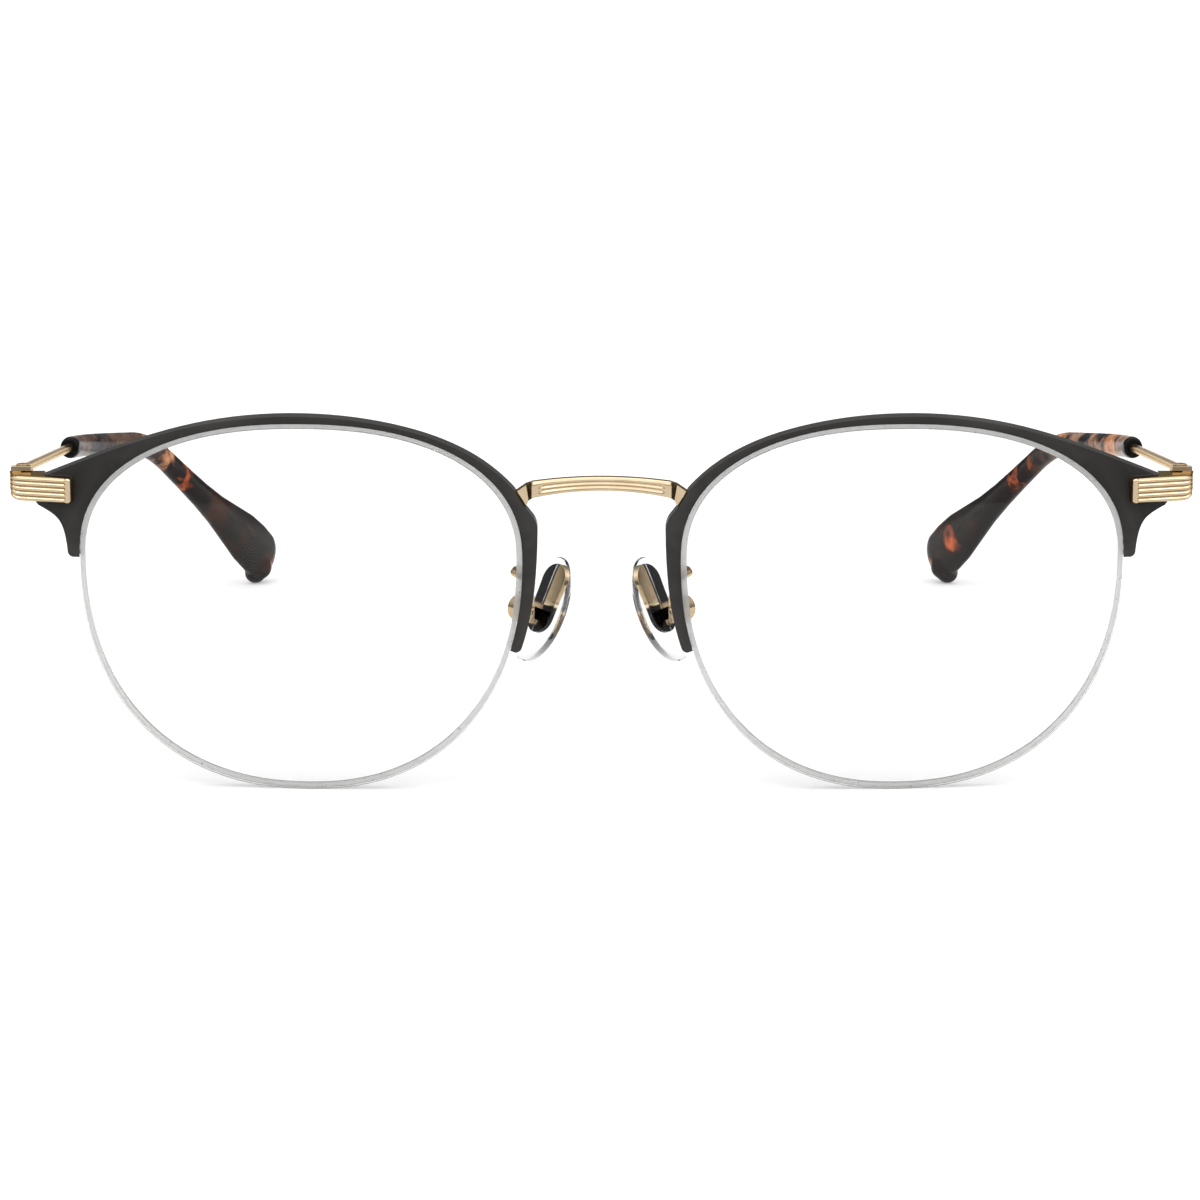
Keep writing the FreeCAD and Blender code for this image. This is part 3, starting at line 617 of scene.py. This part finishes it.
def bridge_bar():
    """An arched bar with a soft top edge and two shallow flutes along its front."""
    rings = []
    columns = 120
    steps = 48
    for column in range(columns + 1):
        x = BRIDGE_HALF * (2 * column / columns - 1)
        bow = (x / BRIDGE_HALF) ** 2
        top = BRIDGE_TOP[0] + (BRIDGE_TOP[1] - BRIDGE_TOP[0]) * bow
        bottom = BRIDGE_BOTTOM[0] + (BRIDGE_BOTTOM[1] - BRIDGE_BOTTOM[0]) * bow
        from_end = BRIDGE_HALF - abs(x)
        fluted = eased(from_end, FLUTE_START, FLUTE_FULL)
        back = rounding(from_end, END_ROUNDING)
        ring = []
        for step in range(steps + 1):
            share = step / steps
            z = bottom + (top - bottom) * share
            flute = max(math.exp(-((share - middle) / FLUTE_WIDTH) ** 2) for middle in FLUTES)
            y = BRIDGE_FACE + FLUTE_DEPTH * flute * fluted + back
            y += rounding(top - z, TOP_ROUNDING) + rounding(z - bottom, BOTTOM_ROUNDING)
            ring.append(front(x, y, z))
        ring.append(front(x, BRIDGE_FACE + BRIDGE_DEPTH, top - 0.1))
        ring.append(front(x, BRIDGE_FACE + BRIDGE_DEPTH, bottom + 0.1))
        rings.append(ring)
    vertices, faces = skin(rings)
    for label, side in SIDES:
        necks = []
        for (top_x, top_z), (low_x, low_z), y_front, y_back in NECK:
            necks.append([sided(front(x, y, z), side) for x, y, z in (
                (top_x, y_front, top_z), (top_x, y_back, top_z),
                (low_x, y_back, low_z), (low_x, y_front, low_z))])
        vertices, faces = joined(vertices, faces, *skin(necks, side))
    mesh = smooth_mesh("fluted_bridge", vertices, faces)
    piece = link("fluted_bridge", mesh, GOLD, "front")
    piece.data.set_sharp_from_angle(angle=math.radians(24))
    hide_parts("bridge")
    return piece


bridge_bar()

# ---------------------------------------------------------------- seat lines

# The rim's front face is part of a sphere, in mm from under the bridge.
RIM_RADIUS = 132.2
SPHERE_CENTRE = (25.7, 132.0, 21.5)
SEAT_GAP = 0.14
SEAT_TURN = 0.55
SEAT_OUTER_X = 64.3
SEAT_DROP = 2.2
SEAT_BEAD = 0.055 * MM


def on_rim(x, z):
    """A point on the rim's front face, in mm from under the bridge."""
    off_x = x - SPHERE_CENTRE[0]
    off_z = z - SPHERE_CENTRE[2]
    return front(x, SPHERE_CENTRE[1] - math.sqrt(RIM_RADIUS ** 2 - off_x ** 2 - off_z ** 2), z)


def seat_line(label, side):
    """A fine lacquered bead on the rim round the end of the ribbed bar, in paler lacquer as a painted
    highlight.
    """
    start_x = BAR_START.x / MM - SEAT_GAP
    top = (BAR_START.z + BAR_HEIGHT / 2) / MM + SEAT_GAP
    points = [(SEAT_OUTER_X, top)]
    for step in range(9):
        angle = math.pi / 2 * (1 + step / 8)
        x = start_x + SEAT_TURN + SEAT_TURN * math.cos(angle)
        points.append((x, top - SEAT_TURN + SEAT_TURN * math.sin(angle)))
    points.append((start_x, top - SEAT_DROP))
    curve = bpy.data.curves.new(label + "_seat_line", "CURVE")
    curve.dimensions = "3D"
    curve.bevel_depth = SEAT_BEAD
    curve.bevel_resolution = 3
    curve.use_fill_caps = True
    spline = curve.splines.new("POLY")
    spline.points.add(len(points) - 1)
    for place, (x, z) in zip(spline.points, points):
        place.co = (*sided(on_rim(x, z), side), 1)
    return link(label + "_seat_line", curve, SEAT_LIT_BLACK, "front")


for label, side in SIDES:
    seat_line(label, side)

# ---------------------------------------------------------------- nose pads

def nose_pad(label, side):
    """An egg-shaped cushion of silicone with a crowned face and a soft edge."""
    forward, upward, inward = pad_axes()
    rings = []
    layers = 17
    steps = 72
    for layer in range(1, layers):
        latitude = math.pi * (layer / layers - 0.5)
        shrink = math.cos(latitude) ** 0.62
        level = math.sin(latitude) * PAD_THICKNESS / 2
        ring = []
        for step in range(steps):
            angle = 2 * math.pi * step / steps
            widen = 1.04 - 0.08 * math.sin(angle)
            across = PAD_WIDTH / 2 * math.cos(angle) * widen * shrink
            along = PAD_LENGTH / 2 * math.sin(angle) * (0.5 + 0.5 * shrink)
            bow = 0.35 * MM * (along / (PAD_LENGTH / 2)) ** 2
            point = PAD_CENTRE + forward * across + upward * along + inward * (level - bow)
            ring.append(sided(point, side))
        rings.append(ring)
    vertices, faces = skin(rings, side)
    mesh = smooth_mesh(label + "_silicone_pad", vertices, faces)
    piece = link(label + "_silicone_pad", mesh, SILICONE, label + "_pad")
    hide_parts(label + "_nose_pad")
    return piece


for label, side in SIDES:
    nose_pad(label, side)

# ---------------------------------------------------------------- temple tips

TIP_RING = 48
# Distance before the tip's end in mm, and how far the slim sleeve has become the paddle.
PADDLE_STOPS = ((80.0, 0.0), (28.5, 0.04), (24.0, 0.09), (19.0, 0.19), (14.4, 0.38), (9.7, 0.74),
                (6.0, 1.03), (2.5, 1.1), (-3.0, 0.9))
SLEEVE_WIDTH = 2.8
SLEEVE_THICKNESS = 2.6
PADDLE_WIDENING = 4.0
PADDLE_THICKENING = 0.3
END_LENGTH = 2.4 * MM
END_STATIONS = (0.2, 0.4, 0.6, 0.75, 0.88, 0.95, 0.985)
# The toe is two balls: a shift from the path's end, a radius and a height over the floor.
TOE_BLOBS = (((0.9, -1.3, 0.0), 1.5, 1.5), ((0.3, -1.0, 0.0), 1.7, 2.2))


def tip_profile(from_end):
    """Width and thickness in mm at a distance in mm before the end of the temple."""
    share = 0.0
    for (far, low), (near, high) in zip(PADDLE_STOPS, PADDLE_STOPS[1:]):
        if near <= from_end <= far:
            share = low + (high - low) * (far - from_end) / (far - near)
    return SLEEVE_WIDTH + PADDLE_WIDENING * share, SLEEVE_THICKNESS + PADDLE_THICKENING * share


def ball(centre, radius, side):
    """Vertices and faces of a closed ball."""
    rows = 14
    columns = 28
    rings = []
    for row in range(1, rows):
        latitude = math.pi * (row / rows - 0.5)
        ring = []
        for column in range(columns):
            turn = 2 * math.pi * column / columns
            spoke = Vector((math.cos(turn), math.sin(turn), 0)) * math.cos(latitude)
            ring.append(sided(centre + (spoke + UP * math.sin(latitude)) * radius, side))
        rings.append(ring)
    return skin(rings, side)


def temple_tip(label, side, material):
    """A slim sleeve that widens into a flat paddle with a small toe."""
    path = list(TEMPLE_PATH[round(TIP_START / PATH_SPACING):])
    total = PATH_SPACING * (len(TEMPLE_PATH) - 1)
    distances = [TIP_START + PATH_SPACING * index for index in range(len(path))]
    last = (path[-1] - path[-2]).normalized()
    end = path[-1]
    for share in END_STATIONS:
        path.append(end + last * END_LENGTH * share)
        distances.append(total + END_LENGTH * share)
    rings = []
    for index, (point, distance) in enumerate(zip(path, distances)):
        ahead = path[min(index + 1, len(path) - 1)]
        direction = (ahead - path[max(index - 1, 0)]).normalized()
        upright = (UP - direction * UP.dot(direction)).normalized()
        across = direction.cross(upright)
        width, thickness = tip_profile((total - distance) / MM)
        past = max(0.0, (distance - total) / END_LENGTH)
        close = math.sqrt(1 - past ** 2) * (1 - 0.1 * (1 - eased(index, 0, 2)))
        ring = []
        for step in range(TIP_RING):
            angle = 2 * math.pi * step / TIP_RING
            offset = upright * math.sin(angle) * width + across * math.cos(angle) * thickness
            ring.append(sided(point + offset * close * MM / 2, side))
        rings.append(ring)
    vertices, faces = skin(rings, -side)
    for shift, radius, height in TOE_BLOBS:
        centre = TEMPLE_PATH[-1] + Vector(shift) * MM
        centre.z = height * MM
        vertices, faces = joined(vertices, faces, *ball(centre, radius * MM, side))
    mesh = smooth_mesh(label + "_acetate_tip", vertices, faces)
    piece = link(label + "_acetate_tip", mesh, material, label + "_temple")
    applied(piece, "REMESH", mode="VOXEL", voxel_size=0.2 * MM)
    applied(piece, "SMOOTH", factor=0.5, iterations=9)
    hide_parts(label + "_temple_tip")
    return piece


# Each blot's distance before the tip's end and its radius, in mm.
PEACH = {
    "left": ((56, 3.4), (37.5, 3.2), (50.5, 1.3)),
    "right": ((38.0, 1.6), (31.0, 2.4), (47.0, 1.3)),
}
RED = {
    "left": ((29.0, 1.5), (24.5, 1.9), (19.0, 0.9), (5.5, 2.3), (-0.5, 1.5), (-2.5, 1.3)),
    "right": ((24.8, 1.9), (18.0, 0.8), (21.0, 0.7), (-1.0, 1.6)),
}
SMOKE = {"left": (0.34, 0.2, 0.135), "right": (0.12, 0.07, 0.05)}
for label, side in SIDES:
    temple_tip(label, side, tortoise(side, SMOKE[label], PEACH[label], RED[label]))

# ---------------------------------------------------------------- camera, floor and light

CAMERA_TARGET = front(-0.18, 0, 22.85)
CAMERA_DISTANCE = 0.6
CAMERA_RISE = math.radians(12)
FOCAL_LENGTH = 156.8
SENSOR_WIDTH = 36
FLOOR_HALF = 3.0


def add_camera():
    """A long lens from the front, a little above the level."""
    data = bpy.data.cameras.new("Camera")
    data.lens = FOCAL_LENGTH
    data.sensor_width = SENSOR_WIDTH
    camera = bpy.data.objects.new("Camera", data)
    bpy.context.scene.collection.objects.link(camera)
    back = Vector((0, -math.cos(CAMERA_RISE), math.sin(CAMERA_RISE)))
    camera.location = CAMERA_TARGET + back * CAMERA_DISTANCE
    camera.rotation_euler = back.to_track_quat("Z", "Y").to_euler()
    bpy.context.scene.camera = camera


def add_floor():
    """A pale, dull, flat floor."""
    corners = [(x * FLOOR_HALF, y * FLOOR_HALF, 0) for x, y in ((-1, -1), (1, -1), (1, 1), (-1, 1))]
    finish = Finish("floor_finish", (0.5, 0.5, 0.5), 0.6, Specular_IOR_Level=0.0,
                    Emission_Color=(1.0, 1.0, 1.0, 1.0), Emission_Strength=0.32)
    finish.color(finish.mix(finish.noise(40.0), (0.49, 0.49, 0.49), (0.51, 0.51, 0.51)))
    floor = bpy.data.objects.new("floor", smooth_mesh("floor", corners, [(0, 1, 2, 3)]))
    floor.data.materials.append(finish.material)
    bpy.context.scene.collection.objects.link(floor)


def add_softbox(name, place, size, power):
    """A square light that faces the glasses and isn't seen through the clear pieces."""
    data = bpy.data.lights.new(name, "AREA")
    data.shape = "SQUARE"
    data.size = size
    data.energy = power
    light = bpy.data.objects.new(name, data)
    bpy.context.scene.collection.objects.link(light)
    light.visible_transmission = False
    light.location = place
    light.rotation_euler = (Vector(place) - CAMERA_TARGET).to_track_quat("Z", "Y").to_euler()


def add_world():
    """A studio that is darker low down and behind, but plain white where the camera sees it.

    The camera sees it directly or through the clear pieces, with no bounce on the way.
    """
    world = bpy.data.worlds.new("Studio")
    world.use_nodes = True
    bpy.context.scene.world = world
    nodes = world.node_tree.nodes
    links = world.node_tree.links
    background = nodes["Background"]

    def math_node(operation, first, second):
        node = nodes.new("ShaderNodeMath")
        node.operation = operation
        for socket, value in zip(node.inputs, (first, second)):
            if isinstance(value, float):
                socket.default_value = value
            else:
                links.new(value, socket)
        return node.outputs["Value"]

    def shades(value, low, high):
        ramp = nodes.new("ShaderNodeValToRGB")
        for element, (position, grey) in zip(ramp.color_ramp.elements, (low, high)):
            element.position = position
            element.color = (grey, grey, grey, 1)
        links.new(value, ramp.inputs["Fac"])
        return ramp.outputs["Color"]

    place = nodes.new("ShaderNodeTexCoord")
    split = nodes.new("ShaderNodeSeparateXYZ")
    links.new(place.outputs["Generated"], split.inputs["Vector"])
    height = shades(split.outputs["Z"], (0.04, 0.1), (0.6, 1.0))
    behind = shades(split.outputs["Y"], (0.1, 1.0), (0.8, 0.25))
    studio = math_node("MULTIPLY", math_node("MULTIPLY", height, behind), 2.0)
    ray = nodes.new("ShaderNodeLightPath")
    bounces = math_node("ADD", ray.outputs["Diffuse Depth"], ray.outputs["Glossy Depth"])
    through = math_node("MULTIPLY", ray.outputs["Is Transmission Ray"], math_node("LESS_THAN", bounces, 0.5))
    seen = math_node("MAXIMUM", ray.outputs["Is Camera Ray"], through)
    rest = math_node("SUBTRACT", 1.0, seen)
    total = math_node("ADD", seen, math_node("MULTIPLY", rest, studio))
    links.new(total, background.inputs["Strength"])
    background.inputs["Color"].default_value = (1, 1, 1, 1)


add_camera()
add_floor()
add_world()
add_softbox("KeyLight", (-0.35, -0.45, 0.75), 0.4, 1.3)
add_softbox("FillLight", (0.5, -0.3, 0.6), 0.4, 0.9)
add_softbox("TopLight", (0.0, 0.35, 0.8), 0.6, 1.6)
bpy.context.scene.view_settings.view_transform = "Standard"
